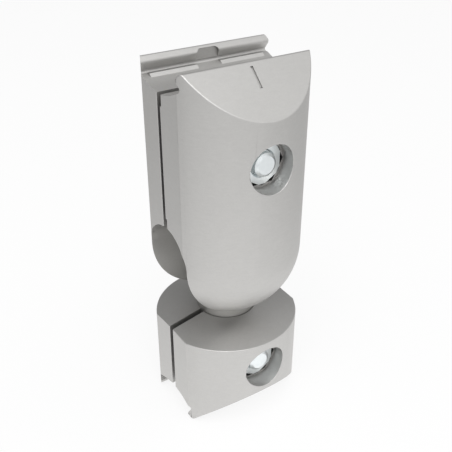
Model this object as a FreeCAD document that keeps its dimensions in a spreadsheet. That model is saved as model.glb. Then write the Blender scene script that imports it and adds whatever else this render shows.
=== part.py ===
import FreeCAD, Part
import Sketcher
import functools
import math
import os
import re

# Pivot joint for clamping profiles: two clamps turned from one round bar, each split
# into a front and a rear jaw, joined by a stud with a ball in the upper clamp and a
# foot in the lower one. Each clamp is closed by one screw and a captive nut.
# Frame: origin at the middle of the lower end, X along the profile recesses, the nut
# side at -Y, the screw heads at +Y, Z up. Lengths in millimetres, angles in degrees.

SIZES = {
    # turned bar of both clamps
    "bar_radius": 25.0,
    "flat_cut": 2.0,
    "lower_cone_angle": 10.5,
    "dome_gap": 4.05,
    # walls between the counterbores and the shoulders, and over the lower screw
    "lower_bore_wall": 1.77,
    "upper_bore_wall": 7.07,
    "lower_screw_cover": 1.25,
    # profile recess, the same at both ends
    "rail_step": 0.2,
    "rail_round": 0.8,
    "lip_reach": 1.75,
    "groove_half_width": 11.1,
    "groove_depth": 4.8,
    "floor_bend": 6.2,
    "floor_bend_depth": 6.85,
    "recess_depth": 8.25,
    "lip_round": 1.2,
    "groove_round": 0.8,
    "floor_round": 20.0,
    "shoulder_angle": 45.0,
    # ribs that bite into the profile
    "rib_reach": 2.8,
    "rib_slope_width": 0.95,
    "rib_start": 4.2,
    "rib_end_gap": 2.4,
    # slot in the middle of the rear upper rail
    "rail_slot_width": 8.0,
    "rail_slot_top": 0.6,
    "rail_slot_round": 1.6,
    # gaps between the jaws
    "upper_front_gap": 0.4,
    "upper_rear_gap": 1.2,
    "lower_front_gap": 1.3,
    "lower_rear_gap": 0.8,
    "relief_depth": 0.7,
    "relief_height": 3.4,
    # ball, neck and foot of the stud
    "ball_radius": 14.0,
    "neck_radius": 10.2,
    "foot_radius": 12.0,
    "foot_cover": 0.5,
    "foot_cone_height": 2.7,
    "foot_rim_height": 1.9,
    "running_clearance": 0.05,
    "notch_clearance": 0.8,
    # clamping screws and nuts
    "upper_screw_rise": 34.3,
    "screw_radius": 4.0,
    "screw_length": 35.0,
    "screw_tip_chamfer": 1.0,
    "hole_clearance": 0.4,
    "head_seat": 14.0,
    "head_radius": 6.5,
    "head_height": 8.0,
    "head_chamfer": 0.6,
    "key_width": 6.0,
    "key_depth": 4.0,
    "nut_wall": 0.45,
    "nut_width": 13.0,
    "nut_height": 6.5,
    "nut_chamfer_angle": 30.0,
    "nut_clearance": 0.1,
    "thread_clearance": 0.05,
    "bore_clearance": 0.13,
    # index line on the front shoulder
    "index_top": 1.0,
    "index_length": 7.0,
    "index_width": 0.9,
    "index_depth": 0.4,
    # rounds of the lower clamp's upper rim and of the gap's upright edges
    "edge_round": 0.3,
    "gap_round": 0.2,
}

doc = FreeCAD.newDocument("pivot_joint")
sheet = doc.addObject("Spreadsheet::Sheet", "Sizes")
for row, (word, value) in enumerate(SIZES.items(), start=1):
    sheet.set(f"A{row}", word)
    sheet.set(f"B{row}", str(value))
    sheet.setAlias(f"B{row}", word)
doc.recompute()

# Half widths across Y: ridge of the rail, gap between the lips, foot of the ribs
RIDGE = "(groove_half_width + rail_step)"
LIP = "(groove_half_width - lip_reach)"
RIB_FOOT = "(groove_half_width - rib_reach)"
FLAT = "(bar_radius - flat_cut)"
# The sharp ridge would stand this far over the rounded one, which lies at the end
RIDGE_DROP = "(rail_round / sin(shoulder_angle) - rail_round)"
SHOULDER_DEPTH = f"((bar_radius - {RIDGE}) / tan(shoulder_angle) - {RIDGE_DROP})"
# Slopes of the recess floor, near the split and near the groove
INNER_SLOPE = "((recess_depth - floor_bend_depth) / floor_bend)"
OUTER_SLOPE = "((floor_bend_depth - groove_depth) / (groove_half_width - floor_bend))"
# The nut goes in through the counterbore, and lies just outside the stud's foot
HEX_ANGLE = "30"
COUNTERBORE = f"((nut_width / 2 + nut_clearance) / cos({HEX_ANGLE}) + bore_clearance)"
NUT_SEAT = "(foot_radius + running_clearance + nut_wall)"
NUT_FACE = f"({NUT_SEAT} + nut_height)"
SEAT_RADIUS = "(ball_radius + running_clearance)"
NOTCH_RADIUS = "(neck_radius + notch_clearance)"
# Heights, from the lower end up
LOWER_SCREW = f"({SHOULDER_DEPTH} + lower_bore_wall + {COUNTERBORE})"
FOOT_BASE = f"({LOWER_SCREW} + screw_radius + hole_clearance + lower_screw_cover + running_clearance)"
LOWER_TOP = f"({FOOT_BASE} + foot_rim_height + foot_cone_height + foot_cover)"
PIVOT = f"({LOWER_TOP} + bar_radius + dome_gap)"
UPPER_SCREW = f"({PIVOT} + upper_screw_rise)"
TOP = f"({UPPER_SCREW} + {COUNTERBORE} + upper_bore_wall + {SHOULDER_DEPTH})"
# How far a cutting outline runs past the metal: a little, and clear of all of it
PAST = "(bar_radius / 10)"
CLEAR = "(2 * bar_radius)"
# How near an edge lies to a named face, and at how many points it is tested
TOUCH = 0.01
SAMPLES = 7


def formula(text):
    """Put the sheet's name before each size that the text uses."""
    def with_sheet(match):
        word = match.group(0)
        return f"Sizes.{word}" if word in SIZES else word

    return re.sub(r"[a-z_]{3,}", with_sheet, text)


@functools.lru_cache(maxsize=None)
def number(text):
    return float(sheet.evalExpression(formula(text)))


def negative(text):
    return f"(0 - {text})"


# Sketches

def new_body(name):
    body = doc.addObject("PartDesign::Body", name)
    body.Label = name
    return body


def new_sketch(body, name, role, offset=None):
    """Sketch on one of the body's own origin planes, moved along its normal."""
    sketch = body.newObject("Sketcher::SketchObject", f"{body.Name}_{name}")
    plane = next(f for f in body.Origin.OriginFeatures if f.Role == role)
    sketch.AttachmentSupport = [(plane, "")]
    sketch.MapMode = "FlatFace"
    if offset:
        sketch.setExpression(".AttachmentOffset.Base.z", formula(offset))
    return sketch


def bind(sketch, kind, *arguments, value):
    index = sketch.addConstraint(Sketcher.Constraint(kind, *arguments, number(value)))
    sketch.setExpression(f"Constraints[{index}]", formula(value))


def pin_point(sketch, shape, end, x, y):
    bind(sketch, "DistanceX", -1, 1, shape, end, value=x)
    bind(sketch, "DistanceY", -1, 1, shape, end, value=y)


def add_arc(sketch, start, end, centre, radius):
    """Arc from start to end the short way round; returns its index and its two ends."""
    first = math.atan2(start.y - centre.y, start.x - centre.x)
    last = math.atan2(end.y - centre.y, end.x - centre.x)
    forward = (last - first) % (2 * math.pi) <= math.pi
    if not forward:
        first, last = last, first
    if last < first:
        last += 2 * math.pi
    circle = Part.Circle(centre, FreeCAD.Vector(0, 0, 1), radius)
    index = sketch.addGeometry(Part.ArcOfCircle(circle, first, last), False)
    return (index, 1, 2) if forward else (index, 2, 1)


def draw_outline(sketch, corners):
    """Closed outline. A corner is (x, y), with ("round", radius) after it for a rounded
    corner, or ("arc", radius, x, y) where an arc about x, y leads to it."""
    points = [FreeCAD.Vector(number(c[0]), number(c[1]), 0) for c in corners]
    extra = [c[2] if len(c) > 2 else None for c in corners]
    count = len(corners)
    arrive = list(points)
    leave = list(points)
    centres = {}
    for i in range(count):
        if extra[i] and extra[i][0] == "round":
            radius = number(extra[i][1])
            back = (points[i - 1] - points[i]).normalize()
            ahead = (points[(i + 1) % count] - points[i]).normalize()
            half = back.getAngle(ahead) / 2
            arrive[i] = points[i] + back * (radius / math.tan(half))
            leave[i] = points[i] + ahead * (radius / math.tan(half))
            centres[i] = points[i] + (back + ahead).normalize() * (radius / math.sin(half))
    sides = []
    for i in range(count):
        j = (i + 1) % count
        if extra[j] and extra[j][0] == "arc":
            centre = FreeCAD.Vector(number(extra[j][2]), number(extra[j][3]), 0)
            side = add_arc(sketch, leave[i], arrive[j], centre, number(extra[j][1]))
            bind(sketch, "Radius", side[0], value=extra[j][1])
        else:
            side = (sketch.addGeometry(Part.LineSegment(leave[i], arrive[j]), False), 1, 2)
        sides.append(side)
    for i in range(count):
        before, after = sides[i - 1], sides[i]
        if i in centres:
            turn = add_arc(sketch, arrive[i], leave[i], centres[i], number(extra[i][1]))
            sketch.addConstraint(Sketcher.Constraint("Tangent", before[0], before[2], turn[0], turn[1]))
            sketch.addConstraint(Sketcher.Constraint("Tangent", turn[0], turn[2], after[0], after[1]))
            bind(sketch, "Radius", turn[0], value=extra[i][1])
            corner = sketch.addGeometry(Part.Point(points[i]), True)
            sketch.addConstraint(Sketcher.Constraint("PointOnObject", corner, 1, before[0]))
            sketch.addConstraint(Sketcher.Constraint("PointOnObject", corner, 1, after[0]))
            pin_point(sketch, corner, 1, corners[i][0], corners[i][1])
        else:
            joined = Sketcher.Constraint("Coincident", before[0], before[2], after[0], after[1])
            sketch.addConstraint(joined)
            pin_point(sketch, after[0], after[1], corners[i][0], corners[i][1])


def draw_box(sketch, low_x, low_y, high_x, high_y):
    draw_outline(sketch, [(low_x, low_y), (high_x, low_y), (high_x, high_y), (low_x, high_y)])


def draw_circle(sketch, x, y, radius):
    centre = FreeCAD.Vector(number(x), number(y), 0)
    index = sketch.addGeometry(Part.Circle(centre, FreeCAD.Vector(0, 0, 1), number(radius)), False)
    bind(sketch, "Radius", index, value=radius)
    pin_point(sketch, index, 3, x, y)


def draw_hexagon(sketch, x, y, width):
    """Hexagon across flats width, with two corners pointing along the sketch's x."""
    corner = f"({width} / 2 / cos({HEX_ANGLE}))"
    side = f"({corner} / 2)"
    flat = f"({width} / 2)"
    draw_outline(sketch, [
        (f"{x} + {corner}", y),
        (f"{x} + {side}", f"{y} + {flat}"),
        (f"{x} - {side}", f"{y} + {flat}"),
        (f"{x} - {corner}", y),
        (f"{x} - {side}", f"{y} - {flat}"),
        (f"{x} + {side}", f"{y} - {flat}"),
    ])


# Features

def add_feature(body, kind, sketch, name):
    feature = body.newObject(f"PartDesign::{kind}", f"{body.Name}_{name}")
    feature.Profile = sketch
    return feature


def turn_solid(body, sketch, name, kind="Revolution"):
    """Turn the sketch once round its vertical axis, as a solid or as a groove."""
    feature = add_feature(body, kind, sketch, name)
    feature.ReferenceAxis = (sketch, ["V_Axis"])
    feature.Angle = 360
    return feature


def cut_across(body, sketch, name):
    """Cut both ways from the sketch plane, right through the part."""
    feature = add_feature(body, "Pocket", sketch, name)
    feature.SideType = "Symmetric"
    feature.setExpression("Length", formula(f"2 * {CLEAR}"))
    return feature


def cut_outward(body, sketch, name, length=CLEAR, along_normal=True):
    """Cut from the sketch plane to one side only."""
    feature = add_feature(body, "Pocket", sketch, name)
    feature.Reversed = along_normal
    feature.setExpression("Length", formula(length))
    return feature


def round_edges(body, name, radius, wanted):
    """Fillet the edges of the body's last feature that the test picks out."""
    doc.recompute()
    base = body.Tip
    picked = [f"Edge{i}" for i, edge in enumerate(base.Shape.Edges, start=1) if wanted(edge)]
    fillet = body.newObject("PartDesign::Fillet", f"{body.Name}_{name}")
    fillet.Base = (base, picked)
    fillet.setExpression("Radius", formula(radius))
    return fillet


# Jaws

class Clamp:
    """Where one clamp's end, screw and gap lie. depth() is measured in from its end."""

    def __init__(self, name, end, inward, screw, front_gap, rear_gap):
        self.name = name
        self.end = end
        self.inward = inward
        self.screw = screw
        self.gap = {-1: front_gap, 1: rear_gap}

    def depth(self, text):
        return f"({self.end} {'+' if self.inward > 0 else '-'} ({text}))"


UPPER = Clamp("upper", TOP, -1, UPPER_SCREW, "upper_front_gap", "upper_rear_gap")
LOWER = Clamp("lower", "0", 1, LOWER_SCREW, "lower_front_gap", "lower_rear_gap")


def outward(side, text):
    """Y at a distance from the middle plane, on the front (-1) or rear (1) side."""
    return f"({text})" if side > 0 else negative(f"({text})")


def turn_upper_blank(body):
    """Round bar with a dome about the pivot."""
    sketch = new_sketch(body, "blank_outline", "XZ_Plane")
    draw_outline(sketch, [
        ("0", f"{PIVOT} - bar_radius"),
        ("bar_radius", PIVOT, ("arc", "bar_radius", "0", PIVOT)),
        ("bar_radius", TOP),
        ("0", TOP),
    ])
    turn_solid(body, sketch, "blank")


def turn_lower_blank(body):
    """Round bar whose upper face rises as a shallow cone to the neck."""
    sketch = new_sketch(body, "blank_outline", "XZ_Plane")
    neck_height = f"({LOWER_TOP} + (bar_radius - neck_radius) * tan(lower_cone_angle))"
    draw_outline(sketch, [
        ("0", "0"),
        ("bar_radius", "0"),
        ("bar_radius", LOWER_TOP, ("round", "edge_round")),
        ("neck_radius", neck_height),
        ("0", neck_height),
    ])
    turn_solid(body, sketch, "blank")


def cut_flats(body):
    sketch = new_sketch(body, "flats_outline", "XY_Plane")
    draw_box(sketch, FLAT, negative(CLEAR), CLEAR, CLEAR)
    draw_box(sketch, negative(CLEAR), negative(CLEAR), negative(FLAT), CLEAR)
    cut_outward(body, sketch, "flats", f"{TOP} + {PAST}")


def split_bar(body, clamp, side):
    """Leave only the front or the rear half, a gap away from the middle plane."""
    sketch = new_sketch(body, "split_outline", "YZ_Plane")
    face = outward(side, clamp.gap[side])
    draw_box(sketch, face, negative(PAST), outward(side, negative(CLEAR)), f"{TOP} + {PAST}")
    cut_across(body, sketch, "split")


def cut_profile_end(body, clamp, side):
    """Half of the profile recess with its lip, and the sloping shoulder outside it."""
    far = f"(bar_radius + {PAST})"
    lip_depth = f"(({RIDGE} - {LIP}) / tan(shoulder_angle) - {RIDGE_DROP})"
    sketch = new_sketch(body, "profile_outline", "YZ_Plane")
    corners = [
        (negative(PAST), negative(PAST)),
        (negative(PAST), f"recess_depth + {PAST} * {INNER_SLOPE}"),
        ("floor_bend", "floor_bend_depth", ("round", "floor_round")),
        ("groove_half_width", "groove_depth", ("round", "groove_round")),
        (LIP, lip_depth, ("round", "lip_round")),
        (RIDGE, negative(RIDGE_DROP), ("round", "rail_round")),
        (far, f"({far} - {RIDGE}) / tan(shoulder_angle) - {RIDGE_DROP}"),
        (far, negative(PAST)),
    ]
    placed = [(outward(side, c[0]), clamp.depth(c[1])) + tuple(c[2:]) for c in corners]
    draw_outline(sketch, placed)
    cut_across(body, sketch, "profile_end")


def add_ribs(body, clamp, side):
    """Two ribs on the flank of the recess, left and right of the rail's middle."""
    crest = f"({RIB_FOOT} + rib_slope_width)"
    foot = f"(floor_bend_depth - ({RIB_FOOT} - floor_bend) * {OUTER_SLOPE})"
    length = f"({FLAT} - rib_end_gap - rib_start)"
    crest_depth = f"({foot} - rib_slope_width)"
    root = "(groove_half_width + groove_round / 4)"
    root_depth = f"({foot} + rib_slope_width)"
    corners = [
        (RIB_FOOT, foot),
        (crest, crest_depth),
        (root, crest_depth),
        (root, root_depth),
        (RIB_FOOT, root_depth),
    ]
    for name, start in (("right_rib", "rib_start"), ("left_rib", f"(0 - rib_start - {length})")):
        sketch = new_sketch(body, f"{name}_outline", "YZ_Plane", start)
        draw_outline(sketch, [(outward(side, s), clamp.depth(d)) for s, d in corners])
        pad = add_feature(body, "Pad", sketch, name)
        pad.setExpression("Length", formula(length))


def cut_notch(body):
    """Arched notch across the dome, which the stud's neck swings through."""
    sketch = new_sketch(body, "notch_outline", "YZ_Plane")
    radius = NOTCH_RADIUS
    draw_outline(sketch, [
        (negative(radius), LOWER_TOP),
        (radius, LOWER_TOP),
        (radius, PIVOT),
        ("0", f"{PIVOT} + {radius}", ("arc", radius, "0", PIVOT)),
        (negative(radius), PIVOT, ("arc", radius, "0", PIVOT)),
    ])
    cut_across(body, sketch, "notch")


def cut_ball_seat(body):
    sketch = new_sketch(body, "seat_outline", "XZ_Plane")
    draw_outline(sketch, [
        ("0", f"{PIVOT} - {SEAT_RADIUS}"),
        (SEAT_RADIUS, PIVOT, ("arc", SEAT_RADIUS, "0", PIVOT)),
        ("0", f"{PIVOT} + {SEAT_RADIUS}", ("arc", SEAT_RADIUS, "0", PIVOT)),
    ])
    turn_solid(body, sketch, "ball_seat", "Groove")


def foot_corners(clearance):
    """Half outline of the stud's foot and neck, grown by a clearance for its seat."""
    neck = f"(neck_radius + {clearance})"
    rim = f"(foot_radius + {clearance})"
    base = f"({FOOT_BASE} - {clearance})"
    rim_top = f"({FOOT_BASE} + foot_rim_height + {clearance})"
    cone_top = f"({FOOT_BASE} + foot_rim_height + foot_cone_height + {clearance})"
    return neck, rim, cone_top, rim_top, base


def cut_foot_seat(body):
    """Round hole for the neck, opening into the seat of the foot."""
    neck, rim, cone_top, rim_top, base = foot_corners("running_clearance")
    above = f"({LOWER_TOP} + bar_radius)"
    sketch = new_sketch(body, "foot_seat_outline", "XZ_Plane")
    corners = [("0", base), (rim, base), (rim, rim_top), (neck, cone_top), (neck, above), ("0", above)]
    draw_outline(sketch, corners)
    turn_solid(body, sketch, "foot_seat", "Groove")


def cut_screw_hole(body, clamp, side):
    """Clearance hole, with a counterbore, and on the nut side a hexagonal pocket."""
    hole = new_sketch(body, "hole_outline", "XZ_Plane")
    draw_circle(hole, "0", clamp.screw, "(screw_radius + hole_clearance)")
    cut_across(body, hole, "screw_hole")
    floor = NUT_FACE if side < 0 else negative("head_seat")
    counterbore = new_sketch(body, "counterbore_outline", "XZ_Plane", floor)
    draw_circle(counterbore, "0", clamp.screw, COUNTERBORE)
    cut_outward(body, counterbore, "counterbore", along_normal=side < 0)
    if side < 0:
        pocket = new_sketch(body, "nut_pocket_outline", "XZ_Plane", NUT_SEAT)
        draw_hexagon(pocket, "0", clamp.screw, "(nut_width + 2 * nut_clearance)")
        cut_outward(body, pocket, "nut_pocket", "nut_height + nut_clearance")


def cut_reliefs(body, clamp, side):
    """Shallow steps in the split face, below the recess and above the notch."""
    face = outward(side, clamp.gap[side])
    back = outward(side, f"{clamp.gap[side]} + relief_depth")
    sketch = new_sketch(body, "relief_outline", "YZ_Plane")
    recess = f"{TOP} - recess_depth"
    notch = f"{PIVOT} + {NOTCH_RADIUS}"
    draw_box(sketch, face, f"{recess} - relief_height", back, f"{recess} + {PAST}")
    draw_box(sketch, face, f"{notch} - {PAST}", back, f"{notch} + relief_height")
    cut_across(body, sketch, "reliefs")


def cut_rail_slot(body):
    """Break in the lip at the middle of the rear upper rail, as deep as the groove."""
    half = "(rail_slot_width / 2)"
    start = f"({LIP} - {PAST})"
    floor = f"{TOP} - groove_depth + groove_round"
    sketch = new_sketch(body, "rail_slot_outline", "XZ_Plane", negative(start))
    draw_outline(sketch, [
        (negative(half), f"{TOP} - rail_slot_top", ("round", "rail_slot_round")),
        (half, f"{TOP} - rail_slot_top", ("round", "rail_slot_round")),
        (half, floor),
        (negative(half), floor),
    ])
    wall = "(groove_half_width - groove_round / 2)"
    cut_outward(body, sketch, "rail_slot", f"{wall} - {start}", along_normal=False)


def cut_index_line(body):
    """Index line down the middle of the front shoulder, cut square to the front."""
    bottom = "(index_top + index_length * cos(shoulder_angle))"
    floor = f"({RIDGE} - index_depth / cos(shoulder_angle))"
    sketch = new_sketch(body, "index_outline", "YZ_Plane")
    high = f"({floor} + (index_top + {RIDGE_DROP}) * tan(shoulder_angle))"
    low = f"({floor} + ({bottom} + {RIDGE_DROP}) * tan(shoulder_angle))"
    draw_outline(sketch, [
        (negative(high), f"{TOP} - index_top"),
        (negative(f"({high} + {PAST})"), f"{TOP} - index_top"),
        (negative(f"({low} + {PAST})"), f"{TOP} - {bottom}"),
        (negative(low), f"{TOP} - {bottom}"),
    ])
    feature = add_feature(body, "Pocket", sketch, "index_line")
    feature.SideType = "Symmetric"
    feature.setExpression("Length", formula("index_width"))


def lies_where(edge, test):
    """True where every sampled point of the edge passes the test."""
    return all(test(point) for point in edge.discretize(SAMPLES))


def near(value, text):
    return abs(value - number(text)) < TOUCH


def round_gap_edges(body, clamp, side):
    """Break the sharp upright edges of the gap, where the split meets the flats."""
    split_faces = (clamp.gap[side], f"{clamp.gap[side]} + relief_depth")

    def on_gap(p):
        return near(abs(p.x), FLAT) and any(near(abs(p.y), place) for place in split_faces)

    def upright(edge):
        box = edge.BoundBox
        tall = box.XLength < TOUCH and box.ZLength > number("relief_height / 2")
        return tall and lies_where(edge, on_gap)

    round_edges(body, "gap_edges", "gap_round", upright)


def make_jaw(clamp, side):
    body = new_body(f"{clamp.name}_{'front' if side < 0 else 'rear'}_jaw")
    if clamp is UPPER:
        turn_upper_blank(body)
    else:
        turn_lower_blank(body)
    cut_flats(body)
    split_bar(body, clamp, side)
    cut_profile_end(body, clamp, side)
    add_ribs(body, clamp, side)
    if clamp is UPPER:
        cut_notch(body)
        cut_ball_seat(body)
    else:
        cut_foot_seat(body)
    cut_screw_hole(body, clamp, side)
    if clamp is UPPER and side < 0:
        cut_reliefs(body, clamp, side)
        cut_index_line(body)
    if clamp is UPPER and side > 0:
        cut_rail_slot(body)
    round_gap_edges(body, clamp, side)
    return body


# Stud, screws and nuts

def make_ball_stud():
    """Ball, neck and foot, turned in one piece."""
    body = new_body("ball_stud")
    neck, rim, cone_top, rim_top, base = foot_corners("0")
    joint = f"({PIVOT} - sqrt(ball_radius * ball_radius - neck_radius * neck_radius))"
    sketch = new_sketch(body, "outline", "XZ_Plane")
    draw_outline(sketch, [
        ("0", base),
        (rim, base),
        (rim, rim_top),
        (neck, cone_top),
        (neck, joint),
        ("ball_radius", PIVOT, ("arc", "ball_radius", "0", PIVOT)),
        ("0", f"{PIVOT} + ball_radius", ("arc", "ball_radius", "0", PIVOT)),
    ])
    turn_solid(body, sketch, "turning")
    return body


def make_clamp_screw(clamp):
    """Socket head screw along Y, its tip past the nut and its head at the rear."""
    body = new_body(f"{clamp.name}_clamp_screw")
    sketch = new_sketch(body, "outline", "XY_Plane")
    tip = "(head_seat - screw_length)"
    top = "(head_seat + head_height)"
    draw_outline(sketch, [
        ("0", tip),
        ("(screw_radius - screw_tip_chamfer)", tip),
        ("screw_radius", f"{tip} + screw_tip_chamfer"),
        ("screw_radius", "head_seat"),
        ("head_radius", "head_seat"),
        ("head_radius", f"{top} - head_chamfer"),
        ("(head_radius - head_chamfer)", top),
        ("0", top),
    ])
    turn_solid(body, sketch, "turning")
    key = new_sketch(body, "key_outline", "XZ_Plane", negative(f"({top} - key_depth)"))
    draw_hexagon(key, "0", "0", "key_width")
    cut_outward(body, key, "key_socket", f"key_depth + {PAST}", along_normal=False)
    body.setExpression(".Placement.Base.z", formula(clamp.screw))
    return body


def make_hex_nut(clamp):
    """Hexagon nut in the front jaw's pocket, chamfered on its outer face."""
    body = new_body(f"{clamp.name}_hex_nut")
    sketch = new_sketch(body, "outline", "XZ_Plane", NUT_SEAT)
    draw_hexagon(sketch, "0", "0", "nut_width")
    pad = add_feature(body, "Pad", sketch, "block")
    pad.setExpression("Length", formula("nut_height"))
    bore = new_sketch(body, "bore_outline", "XZ_Plane")
    draw_circle(bore, "0", "0", "(screw_radius + thread_clearance)")
    cut_across(body, bore, "bore")
    flat = "(nut_width / 2)"
    edge = f"({flat} / cos({HEX_ANGLE}) + {PAST})"
    rise = f"(({edge} - {flat}) * tan(nut_chamfer_angle))"
    chamfer = new_sketch(body, "chamfer_outline", "XY_Plane")
    draw_outline(chamfer, [
        (flat, negative(NUT_FACE)),
        (edge, f"{rise} - {NUT_FACE}"),
        (edge, negative(NUT_FACE)),
    ])
    turn_solid(body, chamfer, "corner_chamfer", "Groove")
    body.setExpression(".Placement.Base.z", formula(clamp.screw))
    return body


parts = [make_ball_stud()]
for clamp in (LOWER, UPPER):
    parts += [make_jaw(clamp, -1), make_jaw(clamp, 1), make_clamp_screw(clamp), make_hex_nut(clamp)]
doc.recompute()

for item in doc.Objects:
    if {"Invalid", "Error"} & set(item.State):
        raise RuntimeError(f"{item.Name} failed: {item.State}")
for part in parts:
    if part.Shape.isNull() or not part.Shape.isValid():
        raise RuntimeError(f"{part.Label} has no valid shape")

os.makedirs("parts", exist_ok=True)
for part in parts:
    part.Shape.exportStep(f"parts/{part.Label}.step")
    print(part.Label, len(part.Shape.Solids), round(part.Shape.Volume, 2))
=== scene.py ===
import bpy
import bmesh
import math
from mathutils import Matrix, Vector


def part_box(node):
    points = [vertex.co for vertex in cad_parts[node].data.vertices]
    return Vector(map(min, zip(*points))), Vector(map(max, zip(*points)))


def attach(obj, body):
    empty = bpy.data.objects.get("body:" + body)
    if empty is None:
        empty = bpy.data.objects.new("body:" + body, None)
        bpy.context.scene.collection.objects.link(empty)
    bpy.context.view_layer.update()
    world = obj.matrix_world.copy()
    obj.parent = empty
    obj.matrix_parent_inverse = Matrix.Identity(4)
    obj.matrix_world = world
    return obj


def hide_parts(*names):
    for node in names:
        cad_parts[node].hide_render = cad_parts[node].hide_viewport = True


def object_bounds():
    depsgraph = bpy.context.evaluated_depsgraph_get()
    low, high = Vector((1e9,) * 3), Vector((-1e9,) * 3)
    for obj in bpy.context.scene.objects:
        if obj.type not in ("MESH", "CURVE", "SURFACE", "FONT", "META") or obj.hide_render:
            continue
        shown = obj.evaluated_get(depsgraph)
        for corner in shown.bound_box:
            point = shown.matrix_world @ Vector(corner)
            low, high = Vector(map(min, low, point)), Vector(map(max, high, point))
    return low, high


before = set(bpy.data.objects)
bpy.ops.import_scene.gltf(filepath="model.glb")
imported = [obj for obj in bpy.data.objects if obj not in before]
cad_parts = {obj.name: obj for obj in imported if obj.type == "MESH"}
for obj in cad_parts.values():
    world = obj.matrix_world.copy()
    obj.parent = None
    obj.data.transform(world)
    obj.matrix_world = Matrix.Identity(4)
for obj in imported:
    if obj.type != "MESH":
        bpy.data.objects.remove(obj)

cad_low, cad_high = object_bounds()

MM = 0.001
TOP = cad_high.z


# Colours and nodes

# Sockets of a Mix node, whose names repeat: factor, two numbers, two colours, and the
# outputs for a number and a colour
FACTOR, FIRST, SECOND, FIRST_COLOUR, SECOND_COLOUR = 0, 2, 3, 6, 7
NUMBER_OUT, COLOUR_OUT = 0, 2

# The bands of a wave texture lie tau / 20 apart at scale 1
WAVE = math.tau / 20


def colour(code):
    """An sRGB hex colour as the linear numbers that the shaders take."""
    parts = [int(code[i:i + 2], 16) / 255 for i in (1, 3, 5)]
    return tuple(p / 12.92 if p <= 0.04045 else ((p + 0.055) / 1.055) ** 2.4 for p in parts) + (1.0,)


def add_node(tree, kind, settings=None, inputs=None):
    """One node with its settings. An input is a value, or the socket that feeds it."""
    node = tree.nodes.new(kind)
    for name, value in (settings or {}).items():
        setattr(node, name, value)
    for name, value in (inputs or {}).items():
        if isinstance(value, bpy.types.NodeSocket):
            tree.links.new(value, node.inputs[name])
        else:
            node.inputs[name].default_value = value
    return node


def empty_material(name):
    """A new material with no nodes, and its node tree."""
    material = bpy.data.materials.new(name)
    material.use_nodes = True
    material.node_tree.nodes.clear()
    return material, material.node_tree


def pattern_scale(millimetres):
    """Texture scale that gives features of about this size."""
    return 1 / (millimetres * MM)


def blasted_anodised_aluminium_and_painted_shade():
    """Aluminium bar, glass bead blasted and clear anodised: a soft even grey with a
    fine grain, faint strokes round the bar from the turning, and cloudy roughness.
    Real blasting has a grain of about 0.1 mm, drawn here at 0.45 mm so that it shows.
    Narrow slots and inner corners are darkened by an ambient occlusion node, as they look in the
    photograph: this darkening is painted shade."""
    material, tree = empty_material("blasted_anodised_aluminium_and_painted_shade")
    place = add_node(tree, "ShaderNodeTexCoord").outputs["Object"]
    grain = add_node(tree, "ShaderNodeTexNoise", inputs={
        "Vector": place, "Scale": pattern_scale(0.45), "Detail": 3.0, "Roughness": 0.6})
    flattened = add_node(tree, "ShaderNodeMapping", inputs={"Vector": place, "Scale": (0.3, 0.3, 1.0)})
    strokes = add_node(tree, "ShaderNodeTexNoise", inputs={
        "Vector": flattened.outputs["Vector"], "Scale": pattern_scale(0.7), "Detail": 2.0,
        "Roughness": 0.5, "Distortion": 0.8})
    cloud = add_node(tree, "ShaderNodeTexNoise", inputs={
        "Vector": place, "Scale": pattern_scale(12), "Detail": 2.0, "Roughness": 0.5})
    both = add_node(tree, "ShaderNodeMix", inputs={
        FACTOR: 0.5, FIRST: grain.outputs["Fac"], SECOND: strokes.outputs["Fac"]}).outputs[NUMBER_OUT]
    tint = add_node(tree, "ShaderNodeMix", {"data_type": "RGBA"}, {
        FACTOR: both, FIRST_COLOUR: colour("#BEBDBB"), SECOND_COLOUR: colour("#CECDCB")})
    # Painted shade: ambient occlusion lowers the tint in narrow slots, inner corners and next to nearby
    # parts
    painted_shade_occlusion = add_node(tree, "ShaderNodeAmbientOcclusion", {"samples": 8}, {"Distance": 3 * MM})
    shade = add_node(tree, "ShaderNodeMapRange", inputs={
        "Value": painted_shade_occlusion.outputs["AO"], "From Min": 0.0, "From Max": 0.8, "To Min": 0.25, "To Max": 1.0})
    tint_with_painted_shade = add_node(tree, "ShaderNodeVectorMath", {"operation": "SCALE"}, {
        0: tint.outputs[COLOUR_OUT], "Scale": shade.outputs["Result"]})
    rough = add_node(tree, "ShaderNodeMapRange", inputs={
        "Value": cloud.outputs["Fac"], "To Min": 0.46, "To Max": 0.54})
    bump = add_node(tree, "ShaderNodeBump", inputs={
        "Height": both, "Strength": 0.3, "Distance": 0.05 * MM})
    shader = add_node(tree, "ShaderNodeBsdfPrincipled", inputs={
        "Base Color": tint_with_painted_shade.outputs["Vector"], "Metallic": 1.0, "Roughness": rough.outputs["Result"],
        "Normal": bump.outputs["Normal"]})
    add_node(tree, "ShaderNodeOutputMaterial", inputs={"Surface": shader.outputs["BSDF"]})
    return material


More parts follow.
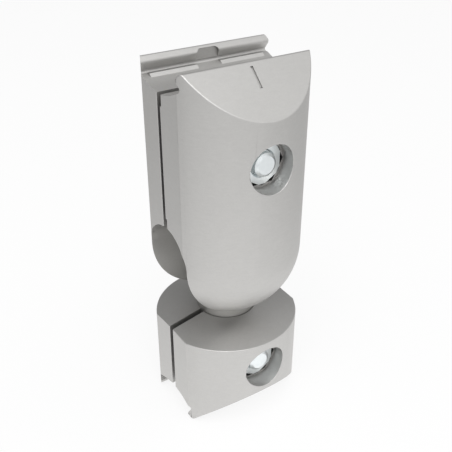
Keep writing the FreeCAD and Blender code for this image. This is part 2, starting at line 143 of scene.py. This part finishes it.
def turned_aluminium():
    """Aluminium turned on a lathe: fine rings round the axis, a little glossier than the
    blasted jaws. Real tool marks lie about 0.1 mm apart, drawn here every 0.6 mm so that
    they show."""
    material, tree = empty_material("turned_aluminium")
    place = add_node(tree, "ShaderNodeTexCoord").outputs["Object"]
    rings = add_node(tree, "ShaderNodeTexWave", {"wave_type": "BANDS", "bands_direction": "Z"}, {
        "Vector": place, "Scale": pattern_scale(0.6) * WAVE, "Distortion": 0.6, "Detail": 1.0})
    cloud = add_node(tree, "ShaderNodeTexNoise", inputs={
        "Vector": place, "Scale": pattern_scale(5), "Detail": 2.0})
    tint = add_node(tree, "ShaderNodeMix", {"data_type": "RGBA"}, {
        FACTOR: rings.outputs["Fac"], FIRST_COLOUR: colour("#ACABA8"), SECOND_COLOUR: colour("#B3B2AF")})
    rough = add_node(tree, "ShaderNodeMapRange", inputs={
        "Value": cloud.outputs["Fac"], "To Min": 0.36, "To Max": 0.46})
    bump = add_node(tree, "ShaderNodeBump", inputs={
        "Height": rings.outputs["Fac"], "Strength": 0.08, "Distance": 0.02 * MM})
    shader = add_node(tree, "ShaderNodeBsdfPrincipled", inputs={
        "Base Color": tint.outputs[COLOUR_OUT], "Metallic": 1.0, "Roughness": rough.outputs["Result"],
        "Normal": bump.outputs["Normal"]})
    add_node(tree, "ShaderNodeOutputMaterial", inputs={"Surface": shader.outputs["BSDF"]})
    return material


def zinc_plated_steel():
    """Steel with bright blue-white zinc: glossy, with a faint cloudy tarnish."""
    material, tree = empty_material("zinc_plated_steel")
    place = add_node(tree, "ShaderNodeTexCoord").outputs["Object"]
    cloud = add_node(tree, "ShaderNodeTexNoise", inputs={
        "Vector": place, "Scale": pattern_scale(1.5), "Detail": 4.0, "Roughness": 0.55})
    tint = add_node(tree, "ShaderNodeMix", {"data_type": "RGBA"}, {
        FACTOR: cloud.outputs["Fac"], FIRST_COLOUR: colour("#E6ECEE"), SECOND_COLOUR: colour("#F3F7F8")})
    rough = add_node(tree, "ShaderNodeMapRange", inputs={
        "Value": cloud.outputs["Fac"], "To Min": 0.3, "To Max": 0.4})
    shader = add_node(tree, "ShaderNodeBsdfPrincipled", inputs={
        "Base Color": tint.outputs[COLOUR_OUT], "Metallic": 1.0, "Roughness": rough.outputs["Result"]})
    add_node(tree, "ShaderNodeOutputMaterial", inputs={"Surface": shader.outputs["BSDF"]})
    return material


def dress(piece, material):
    """Give the piece this material alone."""
    piece.data.materials.clear()
    piece.data.materials.append(material)


jaw_finish_and_painted_shade = blasted_anodised_aluminium_and_painted_shade()
stud_finish = turned_aluminium()
steel_finish = zinc_plated_steel()

for name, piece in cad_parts.items():
    if name.endswith("_jaw"):
        dress(piece, jaw_finish_and_painted_shade)
    elif name == "ball_stud":
        dress(piece, stud_finish)
    else:
        dress(piece, steel_finish)


# Modelling helpers

SAME_SPOT = 0.005 * MM


def deselect():
    bpy.ops.object.select_all(action="DESELECT")


def take(piece):
    """Make this piece the only selected and the active one."""
    deselect()
    piece.select_set(True)
    bpy.context.view_layer.objects.active = piece


def edit(piece, mode="FACE"):
    """Enter edit mode on one piece, with nothing selected."""
    take(piece)
    bpy.ops.object.mode_set(mode="EDIT")
    bpy.ops.mesh.select_mode(type=mode)
    bpy.ops.mesh.select_all(action="DESELECT")


def leave_edit():
    bpy.ops.object.mode_set(mode="OBJECT")


def pick(piece, part, wanted):
    """In edit mode, select only the faces, edges or verts that pass the test."""
    bpy.ops.mesh.select_all(action="DESELECT")
    shape = bmesh.from_edit_mesh(piece.data)
    for element in getattr(shape, part):
        if wanted(element):
            element.select_set(True)
    shape.select_flush_mode()
    bmesh.update_edit_mesh(piece.data)


def apply_modifier(piece, kind, **settings):
    """Add a modifier with its settings, and apply it at once."""
    take(piece)
    modifier = piece.modifiers.new(kind.lower(), kind)
    for name, value in settings.items():
        setattr(modifier, name, value)
    bpy.ops.object.modifier_apply(modifier=modifier.name)


def close_up(piece):
    """Merge what lies on one spot, close what is left open, and turn all faces outwards."""
    edit(piece, "VERT")
    bpy.ops.mesh.select_all(action="SELECT")
    bpy.ops.mesh.remove_doubles(threshold=SAME_SPOT)
    bpy.ops.mesh.dissolve_degenerate(threshold=SAME_SPOT)
    bpy.ops.mesh.select_all(action="DESELECT")
    bpy.ops.mesh.select_non_manifold(
        extend=False, use_wire=False, use_multi_face=False, use_non_contiguous=False, use_verts=False)
    bpy.ops.mesh.fill_holes(sides=0)
    bpy.ops.mesh.select_all(action="SELECT")
    bpy.ops.mesh.normals_make_consistent(inside=False)
    leave_edit()


def combine(piece, tool, operation):
    """Boolean of the piece with a tool body, which is then deleted."""
    apply_modifier(piece, "BOOLEAN", object=tool, operation=operation, solver="EXACT")
    bpy.data.objects.remove(tool)


def finish_piece(piece, name, material, body, node, smooth):
    """Name, smooth shading up to an angle in degrees, finish and body for a piece that
    stands for a CAD node, which is hidden."""
    piece.name = name
    take(piece)
    bpy.ops.object.shade_smooth_by_angle(angle=math.radians(smooth))
    dress(piece, material)
    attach(piece, body)
    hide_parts(node)


# Front jaws with softly broken edges

# Height of each clamp's screw axis, and the ball's size and centre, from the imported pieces
SCREW_HEIGHT = {clamp: sum(corner.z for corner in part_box(clamp + "_clamp_screw")) / 2
                for clamp in ("lower", "upper")}
BALL_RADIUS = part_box("ball_stud")[1].x
PIVOT = Vector((0, 0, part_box("ball_stud")[1].z - BALL_RADIUS))

# Widths of the rounds, and the angles from which an edge counts as sharp or creased
EDGE_BREAK = 0.3 * MM
POCKET_BREAK = 0.09 * MM
SHARP = math.radians(28)
CREASE = math.radians(8)
JAW_SMOOTH = 25

# What is merged in the copy of a CAD mesh: close corners, and faces flat to this angle
CORNER_MERGE = 0.06 * MM
FLAT_TO = math.radians(0.6)

# Places whose edges keep their shape: the split, the screw hole and the two seats
SPLIT_EDGE = 1.8 * MM
HOLE_RADIUS = 8.0 * MM
NUT_FLOOR = 19.1 * MM
HEAD_FLOOR = 14.1 * MM
SEAT_PLAY = 0.2 * MM
FOOT_RADIUS = 12.1 * MM
LOWER_NECK = 33 * MM

# The index line on the upper shoulder, and the mouth of the nut's pocket
INDEX_HALF_WIDTH = 0.6 * MM
INDEX_FRONT = 10 * MM
INDEX_LOW = TOP - 8 * MM
INDEX_HIGH = TOP - 0.5 * MM
MOUTH_RADIUS = 7.7 * MM
MOUTH_DEPTH = 19 * MM
MOUTH_PLAY = 0.05 * MM


def hidden_inside(point, clamp):
    """True inside the screw hole, the ball's seat and the foot's seat."""
    from_axis = math.hypot(point.x, point.z - SCREW_HEIGHT[clamp])
    in_hole = from_axis < HOLE_RADIUS and -NUT_FLOOR < point.y < HEAD_FLOOR
    if clamp == "upper":
        return in_hole or (point - PIVOT).length < BALL_RADIUS + SEAT_PLAY
    return in_hole or (math.hypot(point.x, point.y) < FOOT_RADIUS and point.z < LOWER_NECK)


def on_index_line(point):
    return abs(point.x) < INDEX_HALF_WIDTH and point.y < -INDEX_FRONT and INDEX_LOW < point.z < INDEX_HIGH


def on_pocket_mouth(point, clamp):
    """True on the hexagon where the nut's pocket meets the counterbore's floor."""
    from_axis = math.hypot(point.x, point.z - SCREW_HEIGHT[clamp])
    return from_axis < MOUTH_RADIUS and abs(point.y + MOUTH_DEPTH) < MOUTH_PLAY


def soft_front_jaw(clamp):
    """Copy of the clamp's front jaw, with each outer edge broken by a small round."""
    node = clamp + "_front_jaw"
    take(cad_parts[node])
    bpy.ops.object.duplicate()
    piece = bpy.context.active_object
    bpy.ops.mesh.customdata_custom_splitnormals_clear()
    edit(piece, "EDGE")
    bpy.ops.mesh.select_all(action="SELECT")
    bpy.ops.mesh.remove_doubles(threshold=CORNER_MERGE)
    bpy.ops.mesh.dissolve_limited(angle_limit=FLAT_TO)

    def sharp(edge):
        return len(edge.link_faces) == 2 and edge.is_convex and edge.calc_face_angle() > SHARP

    def outer(edge):
        places = [v.co for v in edge.verts]
        hidden = any(hidden_inside(p, clamp) for p in places)
        on_split = all(abs(p.y) < SPLIT_EDGE for p in places)
        return sharp(edge) and not hidden and not on_split and not all(on_index_line(p) for p in places)

    def at_mouth(edge):
        return sharp(edge) and all(on_pocket_mouth(v.co, clamp) for v in edge.verts)

    def creased(edge):
        if len(edge.link_faces) != 2 or edge.calc_face_angle() < CREASE:
            return False
        return not edge.is_convex or all(on_index_line(v.co) for v in edge.verts)

    pick(piece, "edges", outer)
    bpy.ops.mesh.bevel(offset=EDGE_BREAK, segments=3, clamp_overlap=False, miter_outer="ARC")
    pick(piece, "edges", at_mouth)
    bpy.ops.mesh.bevel(offset=POCKET_BREAK, segments=2, clamp_overlap=False)
    leave_edit()
    finish_piece(piece, node + "_soft", jaw_finish_and_painted_shade, clamp + "_clamp", node, JAW_SMOOTH)
    edit(piece, "EDGE")
    pick(piece, "edges", creased)
    bpy.ops.mesh.mark_sharp()
    leave_edit()
    apply_modifier(piece, "WEIGHTED_NORMAL", keep_sharp=True)


soft_front_jaw("lower")
soft_front_jaw("upper")


# Nuts and screws: modelled once at the lower clamp, and copied up to the upper one

# M8 nut: half its width over the corners, the round on them, the flat ring of each face
# and the cone from that ring to the corners, and the countersinks of the bore. The cones
# run on past the corners and the faces, so that no two faces lie in one plane
NUT_CORNER = 12.73 * MM / math.sqrt(3)
CORNER_ROUND = 0.1 * MM
NUT_FACE_RADIUS = 7.0 * MM
NUT_CONE = math.radians(30)
PAST_CORNER = 0.3 * MM
PAST_FACE = 0.2 * MM
BORE_SINK = 0.45 * MM

# M8 thread: each step of its outline goes outwards and along by a share of the pitch,
# over the root, the rising flank, the crest and the falling flank
THREAD_RADIUS = 4 * MM
THREAD_PLAY = 0.05 * MM
PITCH = 1.25 * MM
THREAD_DEPTH = 0.61
THREAD_OUTLINE = ((0, 0.25), (THREAD_DEPTH, 0.3125), (0, 0.125), (-THREAD_DEPTH, 0.3125))
THREAD_STEPS = 40
SPARE_TURNS = 2
START_BACK = 1.5 * PITCH

# The rest of the shank: chamfered tip, smooth lead and plain part below the head
TIP_RADIUS = 2.9 * MM
TIP_LENGTH = 0.6 * MM
LEAD_RADIUS = 3.8 * MM
LEAD_LENGTH = 2.2 * MM
PLAIN_RADIUS = 3.95 * MM
PLAIN_SHANK = 7 * MM
OVERLAP = 0.3 * MM

# Knurled head and its hexagon socket, 6 mm across the flats
HEAD_RADIUS = 6.5 * MM
HEAD_HEIGHT = 8 * MM
HEAD_CHAMFER = 0.7 * MM
PAST_HEAD = 0.1 * MM
BELOW_SEAT = 1 * MM
KNURL_DEPTH = 0.14 * MM
KNURL_INSET = 0.04 * MM
KNURL_COUNT = 60
KEY_CORNER = 6 * MM / math.sqrt(3)
KEY_DEPTH = 4 * MM
KEY_RISE = 0.6 * MM
KEY_FLARE = 1.2

# Sides of a round, of a finer one and of a hexagon
ROUND = 64
FINE_ROUND = 96
HEXAGON = 6

# Edges longer than this run along the axis, and a face this near to a height is on it
ALONG_AXIS = 1 * MM
AT_HEIGHT = 0.001 * MM

NUT_SMOOTH = 25
SCREW_SMOOTH = 28
AXIS_HEIGHT = SCREW_HEIGHT["lower"]
CLAMP_STEP = Vector((0, 0, SCREW_HEIGHT["upper"] - SCREW_HEIGHT["lower"]))


def rod_along_y(radius, near, far, sides):
    """Cylinder or prism round the lower screw's axis, from near to far."""
    bpy.ops.mesh.primitive_cylinder_add(
        vertices=sides, radius=radius, depth=far - near,
        location=(0, (near + far) / 2, AXIS_HEIGHT), rotation=(math.radians(90), 0, 0))
    bpy.ops.object.transform_apply()
    return bpy.context.active_object


def pull_end(piece, y, distance, share):
    """Extrude the end face at y along the axis, and scale it to a share of its size."""
    def at_end(face):
        return abs(face.normal.y) > 0.9 and abs(face.calc_center_median().y - y) < AT_HEIGHT

    edit(piece)
    pick(piece, "faces", at_end)
    bpy.ops.mesh.extrude_region_move(TRANSFORM_OT_translate={"value": (0, distance, 0)})
    bpy.ops.transform.resize(value=(share, 1, share), center_override=(0, y + distance, AXIS_HEIGHT))
    leave_edit()


def hex_nut(near, far):
    """M8 nut, both faces chamfered to the corners and the bore countersunk."""
    nut = rod_along_y(NUT_CORNER, near, far, HEXAGON)
    edit(nut, "EDGE")
    pick(nut, "edges", lambda e: abs(e.verts[0].co.y - e.verts[1].co.y) > ALONG_AXIS)
    bpy.ops.mesh.bevel(offset=CORNER_ROUND, segments=3, clamp_overlap=False)
    leave_edit()
    wide = NUT_CORNER + PAST_CORNER
    narrow = NUT_FACE_RADIUS - PAST_FACE / math.tan(NUT_CONE)
    rise = (wide - NUT_FACE_RADIUS) * math.tan(NUT_CONE)
    turned = rod_along_y(wide, near + rise, far - rise, FINE_ROUND)
    pull_end(turned, near + rise, -rise - PAST_FACE, narrow / wide)
    pull_end(turned, far - rise, rise + PAST_FACE, narrow / wide)
    combine(nut, turned, "INTERSECT")
    bore_radius = THREAD_RADIUS + THREAD_PLAY
    bore = rod_along_y(bore_radius, near + BORE_SINK, far - BORE_SINK, ROUND)
    mouth = 1 + 2 * BORE_SINK / bore_radius
    pull_end(bore, near + BORE_SINK, -2 * BORE_SINK, mouth)
    pull_end(bore, far - BORE_SINK, 2 * BORE_SINK, mouth)
    combine(nut, bore, "DIFFERENCE")
    return nut


def threaded_shank(tip, end):
    """Rod with a helical M8 thread: one pitch of its outline, screwed round the axis."""
    bpy.ops.mesh.primitive_plane_add(size=1, location=(0, 0, 0))
    rod = bpy.context.active_object
    edit(rod, "VERT")
    bpy.ops.mesh.select_all(action="SELECT")
    bpy.ops.mesh.merge(type="CENTER")
    bpy.ops.transform.translate(value=(THREAD_RADIUS - THREAD_DEPTH * PITCH, 0, 0))
    for across, along in THREAD_OUTLINE:
        bpy.ops.mesh.extrude_region_move(
            TRANSFORM_OT_translate={"value": (across * PITCH, along * PITCH, 0)})
    leave_edit()
    turns = math.ceil((end - tip) / PITCH) + SPARE_TURNS
    apply_modifier(rod, "SCREW", axis="Y", angle=math.radians(360), screw_offset=PITCH,
                   steps=THREAD_STEPS, render_steps=THREAD_STEPS, iterations=turns)
    take(rod)
    rod.location = (0, tip - START_BACK, AXIS_HEIGHT)
    bpy.ops.object.transform_apply()
    edit(rod, "VERT")
    bpy.ops.mesh.select_all(action="SELECT")
    bpy.ops.mesh.remove_doubles(threshold=SAME_SPOT)
    for y, outward in ((tip, -1), (end, 1)):
        bpy.ops.mesh.select_all(action="SELECT")
        bpy.ops.mesh.bisect(
            plane_co=(0, y, AXIS_HEIGHT), plane_no=(0, outward, 0), use_fill=True, clear_outer=True)
    leave_edit()
    close_up(rod)
    return rod


def knurled_head(seat, top):
    """Cylinder head with a knurled side, a chamfered top edge and a hexagon socket."""
    head = rod_along_y(HEAD_RADIUS, seat, top, 2 * KNURL_COUNT)
    edit(head)

    def every_other(face):
        centre = face.calc_center_median()
        step = math.atan2(centre.z - AXIS_HEIGHT, centre.x) * KNURL_COUNT / math.pi
        return abs(face.normal.y) < 0.5 and math.floor(step) % 2 == 0

    pick(head, "faces", every_other)
    bpy.ops.mesh.inset(thickness=KNURL_INSET, depth=-KNURL_DEPTH, use_individual=True)
    leave_edit()
    shoulder = top - HEAD_CHAMFER
    cone = HEAD_CHAMFER + PAST_HEAD
    crown = rod_along_y(HEAD_RADIUS + PAST_HEAD, seat - BELOW_SEAT, shoulder, FINE_ROUND)
    pull_end(crown, shoulder, cone, 1 - cone / HEAD_RADIUS)
    combine(head, crown, "INTERSECT")
    socket = rod_along_y(KEY_CORNER, top - KEY_DEPTH, top, HEXAGON)
    pull_end(socket, top, KEY_RISE, KEY_FLARE)
    combine(head, socket, "DIFFERENCE")
    close_up(head)
    return head


def clamp_screw(tip, top):
    """M8 socket head screw: smooth lead with a chamfered tip, thread, plain shank, knurled head."""
    seat = top - HEAD_HEIGHT
    screw = threaded_shank(tip + LEAD_LENGTH, seat - PLAIN_SHANK)
    lead = rod_along_y(LEAD_RADIUS, tip + TIP_LENGTH, tip + LEAD_LENGTH + OVERLAP, ROUND)
    pull_end(lead, tip + TIP_LENGTH, -TIP_LENGTH, TIP_RADIUS / LEAD_RADIUS)
    combine(screw, lead, "UNION")
    plain = rod_along_y(PLAIN_RADIUS, seat - PLAIN_SHANK - OVERLAP, seat + OVERLAP, ROUND)
    combine(screw, plain, "UNION")
    combine(screw, knurled_head(seat, top), "UNION")
    close_up(screw)
    return screw


def copy_up(piece):
    """A copy with its own mesh, one clamp step higher."""
    take(piece)
    bpy.ops.object.duplicate()
    bpy.ops.transform.translate(value=CLAMP_STEP)
    bpy.ops.object.transform_apply()
    return bpy.context.active_object


nut_low, nut_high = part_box("lower_hex_nut")
lower_nut = hex_nut(nut_low.y, nut_high.y)
upper_nut = copy_up(lower_nut)
for clamp, nut in (("lower", lower_nut), ("upper", upper_nut)):
    finish_piece(nut, clamp + "_nut_turned", steel_finish,
                 clamp + "_clamp", clamp + "_hex_nut", NUT_SMOOTH)

screw_low, screw_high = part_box("lower_clamp_screw")
lower_screw = clamp_screw(screw_low.y, screw_high.y)
upper_screw = copy_up(lower_screw)
for clamp, screw in (("lower", lower_screw), ("upper", upper_screw)):
    finish_piece(screw, clamp + "_screw_threaded", steel_finish,
                 clamp + "_screw", clamp + "_clamp_screw", SCREW_SMOOTH)


# Floor, world and lamp

FLOOR_SIZE = 6.0
FLOOR_DROP = 0.5 * MM

# How much of the floor is plain white to the camera, and how much of it is a painted glow
# to what mirrors it. The rest is lit paper, which keeps the part's shadow
WHITE_SEEN = 0.85
WHITE_MIRRORED = 0.8

# The centre of the painted pool of light on the mirrored floor, and how far it reaches
POOL_CENTRE = (-25 * MM, -75 * MM, 0)
POOL_NEAR = 20 * MM
POOL_FAR = 300 * MM

# The side from which the room is brightest
ROOM_FRONT = (-0.08, -0.95, 0.3)


def pale_floor():
    """Matte white sheet under the part, plain white to the camera. What the metal mirrors
    of it is a painted pool of light, an emission brightest just in front of the part."""
    deselect()
    bpy.ops.mesh.primitive_plane_add(size=FLOOR_SIZE, location=(0, 0, -FLOOR_DROP))
    floor = bpy.context.active_object
    floor.name = "floor"
    material, tree = empty_material("white_paper_and_painted_glow")
    path = add_node(tree, "ShaderNodeLightPath")
    place = add_node(tree, "ShaderNodeTexCoord").outputs["Object"]
    paper = add_node(tree, "ShaderNodeBsdfDiffuse", inputs={"Color": colour("#F4F4F4")})
    white = add_node(tree, "ShaderNodeEmission", inputs={"Color": colour("#FFFFFF"), "Strength": 1.0})
    seen = add_node(tree, "ShaderNodeMath", {"operation": "MULTIPLY"}, {
        0: path.outputs["Is Camera Ray"], 1: WHITE_SEEN})
    sheet = add_node(tree, "ShaderNodeMixShader", inputs={
        0: seen.outputs["Value"], 1: paper.outputs["BSDF"], 2: white.outputs["Emission"]})
    from_pool = add_node(tree, "ShaderNodeVectorMath", {"operation": "DISTANCE"}, {
        0: place, 1: POOL_CENTRE})
    level = add_node(tree, "ShaderNodeMapRange", {"interpolation_type": "SMOOTHSTEP"}, {
        "Value": from_pool.outputs["Value"], "From Min": POOL_NEAR, "From Max": POOL_FAR,
        "To Min": 1.22, "To Max": 0.67})
    # Painted light: an emission that only mirrored rays see, brightest in front of the part
    mirrored = add_node(tree, "ShaderNodeEmission", inputs={
        "Color": colour("#FFFFFF"), "Strength": level.outputs["Result"]})
    glossy = add_node(tree, "ShaderNodeMath", {"operation": "MULTIPLY"}, {
        0: path.outputs["Is Glossy Ray"], 1: WHITE_MIRRORED})
    mix = add_node(tree, "ShaderNodeMixShader", inputs={
        0: glossy.outputs["Value"], 1: sheet.outputs["Shader"], 2: mirrored.outputs["Emission"]})
    add_node(tree, "ShaderNodeOutputMaterial", inputs={"Surface": mix.outputs["Shader"]})
    dress(floor, material)


def studio_world():
    """White to the camera. The room that lights the part is brighter in front than behind."""
    world = bpy.data.worlds.new("studio")
    bpy.context.scene.world = world
    world.use_nodes = True
    tree = world.node_tree
    tree.nodes.clear()
    path = add_node(tree, "ShaderNodeLightPath")
    direction = add_node(tree, "ShaderNodeTexCoord").outputs["Generated"]
    ahead = add_node(tree, "ShaderNodeVectorMath", {"operation": "DOT_PRODUCT"}, {
        0: direction, 1: ROOM_FRONT})
    level = add_node(tree, "ShaderNodeMapRange", {"interpolation_type": "SMOOTHSTEP"}, {
        "Value": ahead.outputs["Value"], "From Min": -0.8, "From Max": 0.7, "To Min": 0.23, "To Max": 0.97})
    room = add_node(tree, "ShaderNodeBackground", inputs={
        "Color": colour("#FFFFFF"), "Strength": level.outputs["Result"]})
    white = add_node(tree, "ShaderNodeBackground", inputs={"Color": colour("#FFFFFF"), "Strength": 1.0})
    mix = add_node(tree, "ShaderNodeMixShader", inputs={
        0: path.outputs["Is Camera Ray"], 1: room.outputs["Background"], 2: white.outputs["Background"]})
    add_node(tree, "ShaderNodeOutputWorld", inputs={"Surface": mix.outputs["Shader"]})


def soft_lamp(name, azimuth, elevation, distance, size, power):
    """Square area lamp that faces the part, turned by two angles in degrees. Azimuth 0 is
    in front, 90 at the right."""
    lamp = bpy.data.lights.new(name, "AREA")
    lamp.size = size
    lamp.energy = power
    place = bpy.data.objects.new(name, lamp)
    bpy.context.scene.collection.objects.link(place)
    a, e = math.radians(azimuth), math.radians(elevation)
    target = Vector((0, 0, TOP / 2))
    away = Vector((math.sin(a) * math.cos(e), -math.cos(a) * math.cos(e), math.sin(e)))
    place.location = target + away * distance
    place.rotation_euler = (-away).to_track_quat("-Z", "Y").to_euler()


pale_floor()
studio_world()
soft_lamp("key_lamp", azimuth=-35, elevation=60, distance=0.9, size=0.6, power=4)


# Camera at the photograph's angle, for a picture 452 pixels wide

PHOTO_WIDTH = 452
FOCAL_PIXELS = 655
SENSOR_WIDTH = 36
NEAREST_SEEN = 0.01
CAMERA_AZIMUTH = math.radians(34.2)
CAMERA_ELEVATION = math.radians(29.86)

# Its distance from the axis, and its height over the lower clamp's top, in bar radii
BAR_RADIUS = 0.025
LOWER_TOP = 0.034
CAMERA_REACH = 7.637 * BAR_RADIUS
CAMERA_HEIGHT = 5.70 * BAR_RADIUS + LOWER_TOP


def photo_camera():
    """The scene's camera, in front of the part at the left and looking down at it."""
    camera = bpy.data.cameras.new("photo_camera")
    camera.sensor_width = SENSOR_WIDTH
    camera.lens = SENSOR_WIDTH * FOCAL_PIXELS / PHOTO_WIDTH
    camera.clip_start = NEAREST_SEEN
    place = bpy.data.objects.new("photo_camera", camera)
    bpy.context.scene.collection.objects.link(place)
    ahead = Vector((math.sin(CAMERA_AZIMUTH), math.cos(CAMERA_AZIMUTH), 0))
    place.location = -ahead * CAMERA_REACH + Vector((0, 0, CAMERA_HEIGHT))
    look = ahead * math.cos(CAMERA_ELEVATION) - Vector((0, 0, math.sin(CAMERA_ELEVATION)))
    place.rotation_euler = look.to_track_quat("-Z", "Y").to_euler()
    bpy.context.scene.camera = place


photo_camera()
bpy.context.scene.view_settings.view_transform = "Standard"
